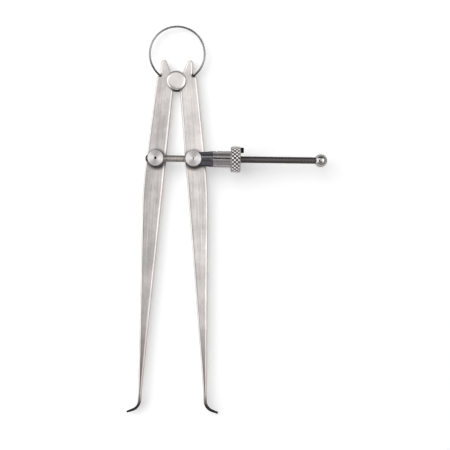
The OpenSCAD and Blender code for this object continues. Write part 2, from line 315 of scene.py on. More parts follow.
def turned_points(profile, centre, axis, cols, radius=None):
    """Points of a surface of revolution: (along, radius) rows swept a full turn about a line.

    axis is "x" or "z", through centre. radius, where given, replaces the profile's radius at each point.
    """
    round_ = np.linspace(0, TURN, cols, endpoint=False)
    along = np.broadcast_to(profile[:, :1], (len(profile), cols))
    r = profile[:, 1:2] if radius is None else radius
    side, up = r * np.cos(round_), r * np.sin(round_)
    local = [along, side, up] if axis == "x" else [side, up, along]
    return np.stack([np.broadcast_to(p, along.shape) for p in local], -1) + np.asarray(centre)


def turned(name, profile, centre, axis, cols=96, radius=None):
    """A closed mesh turned from a profile whose ends lie on the axis."""
    points = turned_points(profile, centre, axis, cols, radius)
    return tidy(grid_mesh(name, points, (run_of(profile), round_of(profile[:, 1].max(), cols))))


def rod(name, start, end, r, axis, cols=64):
    """A plain cylinder, from one point to another along an axis, for cutting a hole."""
    return turned(name, plug(0, np.linalg.norm(np.subtract(end, start)), r), start, axis, cols)


def bar(name, low, high):
    """A plain block between two corners, for cutting a slit."""
    pick = np.array([[0, 0, 0], [1, 0, 0], [1, 1, 0], [0, 1, 0]])
    rows = np.stack([pick, pick + [0, 0, 1]])
    points = np.asarray(low) + rows * np.subtract(high, low)
    return tidy(grid_mesh(name, points, (np.arange(2.0), np.arange(5.0)), cap=True))


def carve(mesh, cutters):
    """The mesh less its cutters, by exact Boolean differences that are applied at once."""
    body = bpy.data.objects.new(mesh.name, mesh)
    bpy.context.collection.objects.link(body)
    tools = [bpy.data.objects.new(c.name, c) for c in cutters]
    for tool in tools:
        bpy.context.collection.objects.link(tool)
        step = body.modifiers.new(tool.name, "BOOLEAN")
        step.operation = "DIFFERENCE"
        step.solver = "EXACT"
        step.object = tool
    bpy.context.view_layer.update()
    made = bpy.data.meshes.new_from_object(body.evaluated_get(bpy.context.evaluated_depsgraph_get()))
    for spare in [body, *tools]:
        bpy.data.objects.remove(spare)
    for spare in [mesh, *cutters]:
        bpy.data.meshes.remove(spare)
    return smooth(made)


def place(name, mesh, finish, body, slot, *nodes):
    """Puts a mesh in the scene as a piece that rides on a body and stands for its nodes."""
    mesh.name = name
    mesh.materials.clear()
    mesh.materials.append(finish)
    piece = bpy.data.objects.new(name, mesh)
    bpy.context.collection.objects.link(piece)
    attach(piece, body)
    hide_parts(*nodes)
    return piece


# Finishes

# Heights along the legs between which the toes' painted shade, near black, fades in
TOE_SHADE_START = LEG_LOW[1] + 9 * MM
TOE_SHADE_END = LEG_LOW[1] + 3.5 * MM
# Heights between which painted shade darkens the flats of the legs and turns them mauve, and what is
# left there of their tone
SHADE_AND_MAUVE_START = LEG_LOW[1] + 40 * MM
SHADE_AND_MAUVE_END = LEG_LOW[1] + 12 * MM
SHADE_AND_MAUVE = (0.52, 0.46, 0.48)
# Distances from the edges of the bow's seats and the posts' drums between which painted shade thins
# out, and how much of the steel it covers round a post
SEAT_SHADE = (0.1 * MM, 0.5 * MM)
POST_SHADE = (0.3 * MM, 1.8 * MM)
POST_SHADE_COVER = 0.8
# Depth over which the bright face of a turned head gives way to the painted shade of its side
FACE_DEPTH = 0.1 * MM
# Distances from the screw's left end between which the painted shade on its stub gives way to the bright
# thread
STUB_SHADE = (1.2 * MM, 2 * MM)
# Depths below the nut's flange between which its body begins, and the blur of the flange's bevels
BODY_DROP = (2 * MM, 1.8 * MM)
BEVEL_BLUR = 0.15 * MM
# Shares of the knurl's depth, from its points down, between which the painted shade begins
KNURL_SHADE = (0.5, 0.2)
# Millimetres from the ends of the bow's wire between which painted shade thins out, and its cover
WIRE_END_SHADE = (9, 1)
WIRE_END_SHADE_COVER = 0.9


class Finish:
    """A node material that is built step by step on one Principled shader."""

    def __init__(self, name, **sockets):
        self.material = bpy.data.materials.new(name)
        self.material.use_nodes = True
        self.tree = self.material.node_tree
        self.shader = next(n for n in self.tree.nodes if n.type == "BSDF_PRINCIPLED")
        if sockets.get("Metallic"):
            self.shader.inputs["Specular Tint"].default_value = (*colours().grazing, 1)
        for label, value in sockets.items():
            self.shader.inputs[label.replace("_", " ")].default_value = value

    def node(self, kind, inputs=None, **settings):
        """Adds a node. inputs maps a socket's name or number to a value or to another node's output."""
        made = self.tree.nodes.new("ShaderNode" + kind)
        for label, value in settings.items():
            setattr(made, label, value)
        for key, value in (inputs or {}).items():
            if isinstance(value, bpy.types.NodeSocket):
                self.tree.links.new(value, made.inputs[key])
            else:
                made.inputs[key].default_value = value
        return made

    def to_shader(self, label, output):
        """Links an output to one of the shader's sockets."""
        self.tree.links.new(output, self.shader.inputs[label])

    def object_point(self, centre=(0, 0, 0), scale=(1, 1, 1)):
        """Object coordinates counted from a centre, and scaled."""
        point = self.node("TexCoord").outputs["Object"]
        moved = self.node("VectorMath", {0: point, 1: tuple(centre)}, operation="SUBTRACT")
        return self.node("VectorMath", {0: moved.outputs[0], 1: scale}, operation="MULTIPLY").outputs[0]

    def coordinate(self, axis, point=None):
        """One coordinate of a point, which by default is in object coordinates."""
        point = self.object_point() if point is None else point
        return self.node("SeparateXYZ", {0: point}).outputs[axis]

    def surface_point(self, scale):
        """The piece's own UV map in millimetres, round and along, scaled."""
        point = self.node("UVMap", uv_map="surface").outputs[0]
        return self.node("VectorMath", {0: point, 1: scale}, operation="MULTIPLY").outputs[0]

    def noise(self, point, scale, detail=3.0, rough=0.55):
        """Noise from 0 to 1 over a point."""
        settings = {"Vector": point, "Scale": scale, "Detail": detail, "Roughness": rough}
        return self.node("TexNoise", settings).outputs["Fac"]

    def spread(self, value, low, high, to_low=0.0, to_high=1.0):
        """A value between low and high, spread over to_low to to_high."""
        made = self.node("MapRange", {"Value": value, "From Min": low, "From Max": high,
                                      "To Min": to_low, "To Max": to_high})
        return made.outputs[0]

    def mix(self, share, first, second):
        """A colour between two colours."""
        made = self.node("Mix", data_type="RGBA")
        for key, value in (("Factor", share), ("A", first), ("B", second)):
            socket = next(s for s in made.inputs if s.name == key and s.enabled)
            if isinstance(value, bpy.types.NodeSocket):
                self.tree.links.new(value, socket)
            else:
                socket.default_value = value if key == "Factor" else (*value, 1)
        return next(s for s in made.outputs if s.enabled)

    def maths(self, operation, first, second=0.0):
        """A sum, a product or another operation on one or two values."""
        return self.node("Math", {0: first, 1: second}, operation=operation).outputs[0]

    def bump(self, height, distance, strength=1.0):
        """Raises the surface by height times distance."""
        made = self.node("Bump", {"Height": height, "Distance": distance, "Strength": strength})
        self.to_shader("Normal", made.outputs[0])

    def tangent(self):
        """Stretches the gloss along the piece's own UV map."""
        made = self.node("Tangent", direction_type="UV_MAP", uv_map="surface")
        self.to_shader("Tangent", made.outputs[0])


def near(made, spot, inside, outside):
    """How near a point is to a spot on each leg: 1 at the inside distance, 0 at the outside one.

    The distance is taken in the legs' plane, with x counted outwards on both sides.
    """
    aside = made.maths("SUBTRACT", made.maths("ABSOLUTE", made.coordinate("X")), spot[0])
    above = made.maths("SUBTRACT", made.coordinate("Y"), spot[1])
    squares = made.maths("ADD", made.maths("MULTIPLY", aside, aside),
                         made.maths("MULTIPLY", above, above))
    return made.spread(made.maths("SQRT", squares), inside, outside, 1.0, 0.0)


def bow_seat(s):
    """Place of the bow's seat on the right leg, in the legs' plane."""
    return s.ear_outer + s.slide_gap, s.shoulder_height + s.notch_radius / 2


def contact_shade_share(made):
    """Where painted shade lies on the legs, from 0 to 1: a painted shadow in the bow's seats and painted
    shade round the posts' feet.
    """
    s = sizes()
    in_seat = near(made, bow_seat(s), *(s.notch_radius + d for d in SEAT_SHADE))
    round_post = near(made, (POST_X, SCREW_Y), *(DRUM_R + d for d in POST_SHADE))
    return made.maths("MAXIMUM", in_seat, made.maths("MULTIPLY", round_post, POST_SHADE_COVER))


def ground_steel(name, tone):
    """Satin steel: grinding marks along the length, a cloudy tone and polished round edges.

    The flats turn darker and mauve towards the feet with painted shade, the toes are painted near black
    as shade, and painted shade lies in the bow's seats and round the posts.
    """
    made = Finish(name, Metallic=1.0, Anisotropic=0.3, Specular_Tint=(0.6, 0.6, 0.6, 1))
    marks = made.noise(made.surface_point((9.0, 0.35, 1.0)), 1.0, 4.0, 0.65)
    bands = made.noise(made.surface_point((1.3, 0.04, 1.0)), 1.0, 2.0)
    clouds = made.noise(made.object_point(), 95.0, 5.0, 0.6)
    cloudy = made.maths("ADD", made.maths("MULTIPLY", bands, 0.3), made.maths("MULTIPLY", clouds, 0.4))
    share = made.maths("ADD", made.maths("MULTIPLY", marks, 0.3), cloudy)
    face = made.mix(made.spread(share, 0.42, 0.58), shaded(tone, 0.74), shaded(tone, 1.13))
    edge = made.node("Attribute", attribute_name="edge").outputs["Fac"]
    height = made.coordinate("Y")
    flat = made.spread(edge, 0.0, 0.5, 1.0, 0.0)
    # Painted shade with a mauve cast on the flats towards the feet
    shade_and_mauve = made.maths("MULTIPLY", flat, made.spread(height, SHADE_AND_MAUVE_END, SHADE_AND_MAUVE_START, 1.0, 0.0))
    face = made.mix(shade_and_mauve, face, shaded(tone, SHADE_AND_MAUVE))
    # Painted shade: the toes darken to near black
    toe_shade = made.spread(height, TOE_SHADE_END, TOE_SHADE_START, 1.0, 0.0)
    before_contact_shade = made.mix(toe_shade, made.mix(edge, face, colours().leg_edge), colours().toe)
    # Painted shadow in the bow's seats and painted shade round the posts
    made.to_shader("Base Color", made.mix(contact_shade_share(made), before_contact_shade, colours().contact_shade))
    made.to_shader("Roughness", made.spread(made.maths("ADD", marks, edge), 0.3, 1.5, 0.26, 0.5))
    made.bump(marks, 6e-6, 0.5)
    made.tangent()
    return made.material


def turned_steel(name, tone, rough, ring_scale, stretch, face=None):
    """Bright turned steel: fine tool rings along the profile, and a gloss drawn out across them.

    Where face is given, the metal below that height is painted dark as shade.
    """
    made = Finish(name, Metallic=1.0, Anisotropic=stretch, Anisotropic_Rotation=0.25)
    rings = made.noise(made.surface_point((0.02, ring_scale, 1.0)), 1.0, 2.0)
    smears = made.noise(made.object_point(), 420.0, 4.0, 0.6)
    shade = made.mix(made.spread(smears, 0.35, 0.75, 0.0, 0.45), tone, shaded(tone, 0.78))
    if face is not None:
        bright = made.spread(made.coordinate("Z"), face - FACE_DEPTH, face)
        # Painted shade below the face
        shade = made.mix(bright, colours().side_shade, shade)
    made.to_shader("Base Color", shade)
    mottle = made.maths("ADD", rings, smears)
    made.to_shader("Roughness", made.spread(mottle, 0.6, 1.4, rough, rough + 0.1))
    made.bump(rings, 6e-6, 0.5)
    made.tangent()
    return made.material


def radius_from_screw(made):
    """Distance of a point from the screw's axis, in metres, as an output."""
    point = made.object_point((0, SCREW_Y, SCREW_Z), (0, 1, 1))
    return made.node("VectorMath", {0: point}, operation="LENGTH").outputs["Value"]


def threaded_steel(name):
    """Dark steel of the screw: worn crests, painted shade in the thread's roots and on its left stub."""
    tone = colours()
    made = Finish(name, Metallic=1.0)
    crest = made.spread(radius_from_screw(made), SCREW_R - sizes().thread_depth, SCREW_R)
    patches = made.noise(made.object_point(), 260.0, 4.0, 0.6)
    worn = made.maths("MULTIPLY", crest, made.spread(patches, 0.3, 0.7, 0.65, 1.0))
    along = made.coordinate("X")
    beyond = made.spread(along, NUT_HIGH[0] - GRIP_LENGTH, NUT_HIGH[0])
    # Painted shade on the stub at the screw's left end
    stub_shade = made.spread(along, *(SCREW_LOW[0] + d for d in STUB_SHADE), 1.0, 0.0)
    oiled_and_stub_shade = made.mix(made.maths("MAXIMUM", beyond, stub_shade), tone.screw, tone.screw_oiled_and_stub_shade)
    # Painted shade in the thread's roots, lifted on the worn crests
    root = made.spread(worn, 0.0, 1.0, 0.7, 0.0)
    made.to_shader("Base Color", made.mix(root, oiled_and_stub_shade, tone.screw_root_shade))
    made.to_shader("Roughness", made.spread(patches, 0.3, 0.7, 0.26, 0.42))
    made.bump(made.noise(made.object_point((0, 0, 0), (3000, 9000, 9000)), 1.0, 2.0), 4e-6, 0.5)
    return made.material


def knurled_steel(name):
    """Grey steel of the nut: tool rings on its body, and painted shade between the knurl's points."""
    tone = colours()
    made = Finish(name, Metallic=1.0, Anisotropic=0.3, Anisotropic_Rotation=0.25)
    radius = radius_from_screw(made)
    raised = made.spread(radius, *(GRIP_R - share * sizes().knurl_depth for share in KNURL_SHADE))
    body = made.spread(radius, *(GRIP_R - d for d in BODY_DROP), 1.0, 0.0)
    from_middle = made.object_point((NUT_HIGH[0] - GRIP_LENGTH / 2, 0, 0))
    aside = made.maths("ABSOLUTE", made.coordinate("X", from_middle))
    bevel_start = GRIP_LENGTH / 2 - GRIP_BEVEL
    bevel = made.spread(aside, bevel_start, bevel_start + BEVEL_BLUR)
    plain = made.maths("MAXIMUM", body, bevel)
    rings = made.noise(made.surface_point((0.03, 9.0, 1.0)), 1.0, 3.0)
    # Painted shade in the knurl's grooves
    grip = made.mix(raised, shaded(tone.nut, 0.02), tone.nut)
    shade = made.mix(plain, grip, tone.nut_body)
    ringed = made.maths("MULTIPLY", made.spread(rings, 0.35, 0.7, 0.0, 0.4), body)
    made.to_shader("Base Color", made.mix(ringed, shade, tone.nut_ring))
    made.to_shader("Metallic", made.spread(plain, 0.0, 1.0, 0.75, 1.0))
    made.to_shader("Roughness", made.spread(rings, 0.3, 0.7, 0.22, 0.38))
    made.bump(rings, 8e-6, 0.5)
    made.tangent()
    return made.material


def blackened_steel(name, tone):
    """Blackened steel: a dark film with faint clouds, rubbed a little brighter in spots."""
    made = Finish(name, Metallic=0.85)
    clouds = made.noise(made.object_point(), 700.0, 5.0, 0.62)
    rubbed = made.mix(made.spread(clouds, 0.5, 0.8, 0.0, 0.35), tone, shaded(tone, 2))
    made.to_shader("Base Color", rubbed)
    made.to_shader("Roughness", made.spread(clouds, 0.3, 0.7, 0.14, 0.28))
    made.bump(made.noise(made.object_point(), 6000.0, 3.0), 6e-6, 0.5)
    return made.material


def drawn_wire(name, run):
    """Spring wire: draw marks along its length over a dark film from tempering, and painted shade
    towards its ends.

    run is the wire's length in millimetres.
    """
    tone = colours()
    made = Finish(name, Metallic=1.0, Anisotropic=0.4)
    marks = made.noise(made.surface_point((6.0, 0.15, 1.0)), 1.0, 3.0)
    film = made.noise(made.object_point(), 180.0, 3.0)
    shade = made.mix(made.spread(made.maths("ADD", marks, film), 0.7, 1.3),
                     shaded(tone.wire, 0.55), shaded(tone.wire, 1.25))
    half = run / 2
    along = made.coordinate("Y", made.surface_point((1, 1, 1)))
    off_middle = made.maths("ABSOLUTE", made.maths("SUBTRACT", along, half))
    # Painted shade darkens the wire towards its ends in the seats
    ends = made.spread(off_middle, *(half - d for d in WIRE_END_SHADE), 0.0, WIRE_END_SHADE_COVER)
    made.to_shader("Base Color", made.mix(ends, shade, tone.contact_shade))
    made.to_shader("Roughness", made.spread(marks, 0.3, 0.7, 0.14, 0.28))
    made.bump(marks, 5e-6, 0.5)
    made.tangent()
    return made.material


def once(name, make, *values):
    """The material of that name, made if the scene has none yet."""
    return bpy.data.materials.get(name) or make(name, *values)


def leg_steel():
    """The finish of the legs and the washers behind them."""
    return once("leg_ground_steel", ground_steel, colours().leg)


def black_steel():
    """The finish of the lug and the locking pin."""
    return once("black_steel", blackened_steel, colours().oxide)


# The legs

# Degrees at which a rounded end closes with a small flat
TIP_ANGLE = 80
# Height above the shoulder at which the ear's own rows end
SHOULDER_STEP = 0.12 * MM
# Largest share of a section's smaller side that an edge's radius takes
EDGE_SHARE = 0.48
# Shares of a flat's length at which its points lie, crowded towards both ends
CROWD = np.array([0.02, 0.08, 0.22, 0.5, 0.78, 0.92, 0.98])


def soft_min(a, b, reach):
    """The smaller of two values, rounded where they come within reach of each other."""
    return np.minimum(a, b) - np.maximum(reach - np.abs(a - b), 0) ** 2 / (4 * reach)


def leg_stations(s):
    """Rows of (middle x, middle y, turn, width, thickness) along the left leg, from ear tip to toe.

    The inner edge is straight below the stud and leans outward above it. The width grows on one line and
    shrinks on another, with a soft minimum between them, and the foot follows an arc and a straight toe.
    """
    thick, tip = LEG_HIGH[2] - LEG_LOW[2], LEG_HIGH[1]
    ankle = -s.leg_length + s.foot_radius * math.sin(s.foot_turn) + s.toe_length * math.cos(s.foot_turn)

    def inner(y):
        return s.root_gap + np.abs(y) * np.where(y < 0, math.tan(s.splay), math.tan(s.ear_lean))

    def outer(y):
        grow = (s.leg_width - s.root_width) / s.taper_start
        taper = (s.leg_width - s.ankle_width) / (-s.taper_start - ankle)
        width = soft_min(s.root_width - grow * y, s.ankle_width + taper * (y - ankle), s.taper_blend)
        above = s.root_gap + s.root_width - y * (math.tan(s.splay) + grow)
        return np.where(y < 0, inner(y) + width, above)

    def rows(y, left):
        right = inner(y)
        flat = np.zeros_like(y)
        return np.stack([-(right + left) / 2, y, flat, left - right, flat + thick], -1)

    lean = math.tan(s.ear_lean)
    tip_r = (s.ear_outer - s.root_gap - tip * lean) / (2 - lean)
    a = np.radians(np.linspace(TIP_ANGLE, 0, 14))
    ear_tip = np.stack([np.full_like(a, tip_r - s.ear_outer), tip - tip_r + tip_r * np.sin(a), 0 * a,
                        2 * tip_r * np.cos(a), np.full_like(a, thick)], -1)
    y = np.linspace(tip - tip_r, s.shoulder_height + SHOULDER_STEP, 15)[1:]
    ear = rows(y, np.full_like(y, s.ear_outer))
    a = np.linspace(0, math.pi / 2, 12)
    top = s.shoulder_height - s.shoulder_radius
    y = top + s.shoulder_radius * np.cos(a)
    shoulder = rows(y, outer(np.array(top)) - s.shoulder_radius * (1 - np.sin(a)))
    y = np.append(np.linspace(top, 0, 6), np.linspace(0, ankle, 150)[1:])[1:]
    blade = rows(y, outer(y))

    bend = np.linspace(0, s.foot_turn, 22)[1:]
    round_ = np.radians(np.linspace(0, TIP_ANGLE, 10))
    straight = np.append(np.zeros(len(bend)), s.toe_length - s.toe_width / 2 * (1 - np.sin(round_)))
    turn = np.append(bend, np.full(len(round_), s.foot_turn))
    end = np.append(np.ones(len(bend)), np.cos(round_))
    share = (s.foot_radius * turn + np.minimum(straight, s.toe_length)) / (
        s.foot_radius * s.foot_turn + s.toe_length)
    ankle_x = inner(np.array(ankle)) + s.ankle_width / 2
    foot = np.stack([
        -ankle_x - s.foot_radius * (1 - np.cos(turn)) - straight * np.sin(turn),
        ankle - s.foot_radius * np.sin(turn) - straight * np.cos(turn), turn,
        (s.ankle_width + (s.toe_width - s.ankle_width) * share) * end,
        (thick + (s.toe_thickness - thick) * share) * end], -1)
    return np.concatenate([ear_tip, ear, shoulder, blade, foot])


def leg_sections(stations, edge_radius, arc=8):
    """Points of a rounded rectangle at each station, and how far each lies round an edge, from 0 to 1.

    Each corner is a quarter arc, and each flat between two corners is a row of points that crowd towards
    its ends, so that the flats stay flat under smooth shading.
    """
    width, thick = stations[:, 3:4], stations[:, 4:5]
    r = np.minimum(edge_radius, EDGE_SHARE * np.minimum(width, thick))
    quarter = np.linspace(0, math.pi / 2, arc + 1)
    across, through, edge = [], [], []
    for q, (side, face) in enumerate([(1, 1), (-1, 1), (-1, -1), (1, -1)]):
        a = quarter + q * math.pi / 2
        next_side, next_face = [(-1, 1), (-1, -1), (1, -1), (1, 1)][q]
        end = a[-1]
        corner_x, corner_z = side * (width / 2 - r), face * (thick / 2 - r)
        next_x, next_z = next_side * (width / 2 - r), next_face * (thick / 2 - r)
        across += [corner_x + r * np.cos(a), corner_x + r * np.cos(end) + CROWD * (next_x - corner_x)]
        through += [corner_z + r * np.sin(a), corner_z + r * np.sin(end) + CROWD * (next_z - corner_z)]
        on_side = float(q % 2)
        edge += [np.abs(np.cos(a)), np.full(len(CROWD), on_side)]
    return np.concatenate(across, 1), np.concatenate(through, 1), np.concatenate(edge)


def leg_mesh(name, side):
    """One leg: its sections carried along the stations, then drilled for the neck, the post and the bow.

    side is -1 for the left leg and 1 for the right one, which is the left one mirrored.
    """
    s = sizes()
    stations = leg_stations(s)
    across, through, edge = leg_sections(stations, s.edge_radius)
    turn = stations[:, 2:3]
    x = stations[:, 0:1] + across * np.cos(turn)
    y = stations[:, 1:2] - across * np.sin(turn)
    points = np.clip(np.stack([x, y, LEG_MID_Z + through], -1), LEG_LOW, LEG_HIGH) * (-side, 1, 1)
    middle = np.argmax(stations[:, 3])
    round_ = run_of(np.concatenate([points[middle], points[middle, :1]]))
    mesh = grid_mesh(name, points, (run_of(stations[:, :2]), round_), cap=True)
    polish = mesh.attributes.new("edge", "FLOAT", "POINT")
    polish.data.foreach_set("value", np.tile(edge, len(stations)).astype(np.float32))
    tidy(mesh)
    low, high = LEG_LOW[2] - MM, LEG_HIGH[2] + MM
    seat_x, seat_y = bow_seat(s)
    holes = [((0, 0), s.neck_radius + s.running_gap),
             ((side * POST_X, SCREW_Y), s.shank_radius + s.running_gap),
             ((side * seat_x, seat_y), s.notch_radius)]
    cutters = [rod("leg_drill", (*at, low), (*at, high), r, "z") for at, r in holes]
    return carve(mesh, cutters)


class CALIPER_OT_legs(bpy.types.Operator):
    """Makes the two flat legs with their ears and turned-out feet"""

    bl_idname = "caliper.legs"
    bl_label = "Legs"

    def execute(self, context):
        for name, side in (("left_leg", -1), ("right_leg", 1)):
            place(name + "_blade", leg_mesh(name, side), leg_steel(), name, "leg_steel", name)
        return {"FINISHED"}


# The stud: height of the head's straight rim, radius of the flat on its crown, and how far its
# corners are rounded, from the back face to the head's lower edge
STUD_RIM = 0.8 * MM
STUD_FLAT_R = 3 * MM
STUD_ROUNDING = np.array([0.3, 0.1, 0, 0, 0.12]) * MM


class CALIPER_OT_stud(bpy.types.Operator):
    """Makes the spool stud that both legs turn on"""

    bl_idname = "caliper.stud"
    bl_label = "Fulcrum stud"

    def execute(self, context):
        """The profile runs up flange, neck and head, whose crown is a quarter of an ellipse."""
        s = sizes()
        r, top = STUD_HIGH[0], STUD_HIGH[2]
        back, front = LEG_LOW[2] - s.slide_gap, LEG_HIGH[2] + s.slide_gap
        rim = front + STUD_RIM
        a = np.linspace(0, math.pi / 2, 12)
        crown = np.stack([rim + (top - rim) * np.sin(a),
                          STUD_FLAT_R + (r - STUD_FLAT_R) * np.cos(a)], -1)
        outline = [[0, 0], [0, r], [back, r], [back, s.neck_radius], [front, s.neck_radius],
                   [front, r], [rim, r]]
        base = fillet(outline, STUD_ROUNDING)
        profile = refine(np.concatenate([base[:-1], crown, [[top, 0]]]), STUD_STEP)
        mesh = turned("stud_spool", profile, (0, 0, 0), "z", 128)
        finish = once("stud_steel", turned_steel, colours().stud, 0.3, 9.0, 0.2, rim)
        place("stud_spool", mesh, finish, "fulcrum", "bright_steel", "fulcrum_stud")
        return {"FINISHED"}


# The bow: room left between the wire's ends and the bottoms of their seats, length over which the
# ends are rounded and angle at which the rounding begins, in radians
SEAT_ROOM = 0.2 * MM
WIRE_END = 0.3 * MM
WIRE_TIP = 0.25


class CALIPER_OT_bow(bpy.types.Operator):
    """Makes the round-wire bow between the seats of the two legs"""

    bl_idname = "caliper.bow"
    bl_label = "Bow spring"

    def execute(self, context):
        """A circle of wire is carried along an arc whose ends lie in the seats, with rounded ends."""
        s = sizes()
        cols = 24
        bow_r = (BOW_HIGH[0] - BOW_LOW[0]) / 2 - WIRE_R
        bow_y = BOW_HIGH[1] - WIRE_R - bow_r
        start = -math.acos(bow_seat(s)[0] / bow_r) - (s.notch_radius - SEAT_ROOM) / bow_r
        sweep = np.linspace(start, math.pi - start, 241)[2:-2]
        ends = WIRE_END / bow_r * (1 - np.cos(np.linspace(0, math.pi / 2, 6)[:-1]))
        thin = np.sin(np.linspace(WIRE_TIP, math.pi / 2, 6)[:-1])
        wire = WIRE_R * np.concatenate([thin, np.ones(len(sweep)), thin[::-1]])[:, None]
        sweep = np.concatenate([start + ends, sweep, math.pi - start - ends[::-1]])
        round_ = np.linspace(0, TURN, cols, endpoint=False)
        out = bow_r + wire * np.cos(round_)
        points = np.stack([out * np.cos(sweep)[:, None], bow_y + out * np.sin(sweep)[:, None],
                           LEG_MID_Z + wire * np.sin(round_)], -1)
        along = (sweep - start) * bow_r / MM
        mesh = tidy(grid_mesh("bow_wire", points, (along, round_of(WIRE_R, cols)), cap=True))
        finish = once("drawn_wire", drawn_wire, along[-1])
        piece = place("bow_wire", mesh, finish, "bow", "spring_wire", "bow_spring")
        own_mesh(piece)
        return {"FINISHED"}


# The posts: how far the corners of the drums, the washers and the pin are rounded, the radius and
# depth of the right head's centre mark, and the washers' play round the shanks
DRUM_ROUNDING = np.array([0.1, 0, 0.3, 0.4]) * MM
WASHER_ROUNDING = np.array([0.25, 0.08, 0]) * MM
PIN_ROUNDING = np.array([0.1, 0.2]) * MM
MARK_R = 0.28 * MM
MARK_DEPTH = 0.3 * MM
WASHER_PLAY = 0.02 * MM


class CALIPER_OT_posts(bpy.types.Operator):
    """Makes the two swivelling posts, their back washers and the screw's locking pin"""

    bl_idname = "caliper.posts"
    bl_label = "Posts"

    def execute(self, context):
        """Each post is a drum on a shank, drilled across for the screw and down from its head."""
        s = sizes()
        base, top = LEG_HIGH[2] + s.slide_gap, POST_HIGH[2]
        outline = [[0, 0], [0, s.shank_radius], [base, s.shank_radius], [base, DRUM_R],
                   [top, DRUM_R], [top, 0]]
        drum = refine(fillet(outline, DRUM_ROUNDING), POST_STEP)
        hole_r, back = s.shank_radius + WASHER_PLAY, WASHER_HIGH[2]
        ring = fillet([[0, hole_r], [0, WASHER_R], [back, WASHER_R], [back, hole_r], [0, hole_r]],
                      WASHER_ROUNDING)
        ring_cols = 96
        ring_coords = run_of(ring), round_of(WASHER_R, ring_cols)
        bright = once("post_steel", turned_steel, colours().bright, 0.68, 9.0, 0.98, top - FACE_DEPTH)
        marks = {"left_post": (-1, PIN_R, SCREW_Z), "right_post": (1, MARK_R, top - MARK_DEPTH)}
        for name, (side, mark_r, floor) in marks.items():
            x, y = side * POST_X, SCREW_Y
            mesh = turned(name, drum, (x, y, 0), "z", 128)
            bore = rod("post_drill", (x - 2 * DRUM_R, y, SCREW_Z), (x + 2 * DRUM_R, y, SCREW_Z),
                       SCREW_R + s.running_gap, "x")
            mark = rod("head_drill", (x, y, floor), (x, y, top + MM), mark_r, "z", 32)
            place(name + "_drum", carve(mesh, [bore, mark]), bright, name, "bright_steel", name)
            points = turned_points(ring, (x, y, 0), "z", ring_cols)
            flat = tidy(grid_mesh(name + "_ring", points, ring_coords))
            place(name + "_ring", flat, leg_steel(), name, "leg_steel", name + "_washer")
        sunk = fillet(plug(PIN_LOW[2], PIN_HIGH[2], PIN_R), PIN_ROUNDING)
        place("lock_pin", turned("lock_pin", sunk, (-POST_X, SCREW_Y, 0), "z", 48),
              black_steel(), "left_post", "black_oxide", "screw_pin")
        return {"FINISHED"}


# The screw: how far it reaches into the ball, share of half a pitch that each crest and each root
# is flat, and length of the pointed start and the share of the section that its tip keeps
BALL_REACH = 0.05 * MM
THREAD_FLAT = 1 / 7
THREAD_START = 0.5 * MM
THREAD_TIP = 0.35


class CALIPER_OT_screw(bpy.types.Operator):
    """Makes the long adjusting screw and the polished ball that stops the nut"""

    bl_idname = "caliper.screw"
    bl_label = "Adjusting screw"

    def execute(self, context):
        """The thread's radius falls from crest to root and back over each pitch.

        Its phase turns once round the screw. The ball is a circle turned about the screw's axis, from
        where it meets the screw.
        """
        s = sizes()
        cols, rows_per_pitch = 40, 10
        start, end = SCREW_LOW[0], BALL_LOW[0] + BALL_REACH
        rows = math.ceil((end - start) / s.thread_pitch * rows_per_pitch)
        along = np.linspace(start, end, rows)[:, None]
        phase = (along / s.thread_pitch - np.arange(cols) / cols) % 1
        off_crest = np.abs(phase - 0.5) * 2
        flank = np.clip((off_crest - THREAD_FLAT) / (1 - 2 * THREAD_FLAT), 0, 1)
        full = np.clip((along - start) / THREAD_START, 0, 1)
        radius = (SCREW_R - s.thread_depth * flank) * np.sqrt(THREAD_TIP + (1 - THREAD_TIP) * full)
        radius[0] = radius[-1] = 0
        profile = np.concatenate([along, np.full_like(along, SCREW_R)], 1)
        mesh = turned("screw_thread", profile, (0, SCREW_Y, SCREW_Z), "x", cols, radius)
        finish = once("threaded_steel", threaded_steel)
        place("screw_thread", mesh, finish, "left_post", "screw_steel", "adjusting_screw")
        a = np.linspace(math.asin(SCREW_R / BALL_R), math.pi, 64)
        profile = np.stack([-BALL_R * np.cos(a), BALL_R * np.sin(a)], -1)
        profile = np.concatenate([[[profile[0, 0], 0]], profile])
        ball = turned("ball", profile, (BALL_HIGH[0] - BALL_R, SCREW_Y, SCREW_Z), "x", 96)
        shine = once("ball_steel", turned_steel, colours().ball, 0.04, 6.0, 0.1)
        place("ball", ball, shine, "left_post", "bright_steel", "stop_ball")
        return {"FINISHED"}


# The cup: its radius at the post, the radii of its socket at the mouth and the bottom, and how far
# its corners are rounded
CUP_SLIM_R = 3 * MM
CUP_MOUTH_R = 2.8 * MM
CUP_FLOOR_R = 2.27 * MM
CUP_ROUNDING = np.array([0.15, 0.2, 0.1, 0, 0]) * MM
# The nut: radii of its nose at the tip and the root, the groove's distance from the cup, depth and
# width, the slit's half width, and how far the corners are rounded, from the nose on
NOSE_TIP_R = 2.2 * MM
NOSE_ROOT_R = 2.7 * MM
GROOVE_AT = 1.3 * MM
GROOVE_DEPTH = 0.3 * MM
GROOVE_WIDTH = 0.5 * MM
SLIT_HALF = 0.45 * MM
NUT_ROUNDING = np.array([0.15, 0, 0.15, 0.06, 0, 0, 0.06, 0.1, 0.1, 0.1, 0.1, 0.1, 0.1]) * MM
# The knurl: how steeply its points fall to the grooves, how far out the fall begins, shares of the
# flange's bevel over which it rises and where the fine rows begin, and columns to a ridge
KNURL_STEEP = 2.6
KNURL_OFFSET = 1.4
KNURL_RISE = 0.35
KNURL_FROM = 1.1
KNURL_COLS = 18
# How far the lug's corners are rounded
LUG_ROUNDING = np.array([0.05, 0.35]) * MM


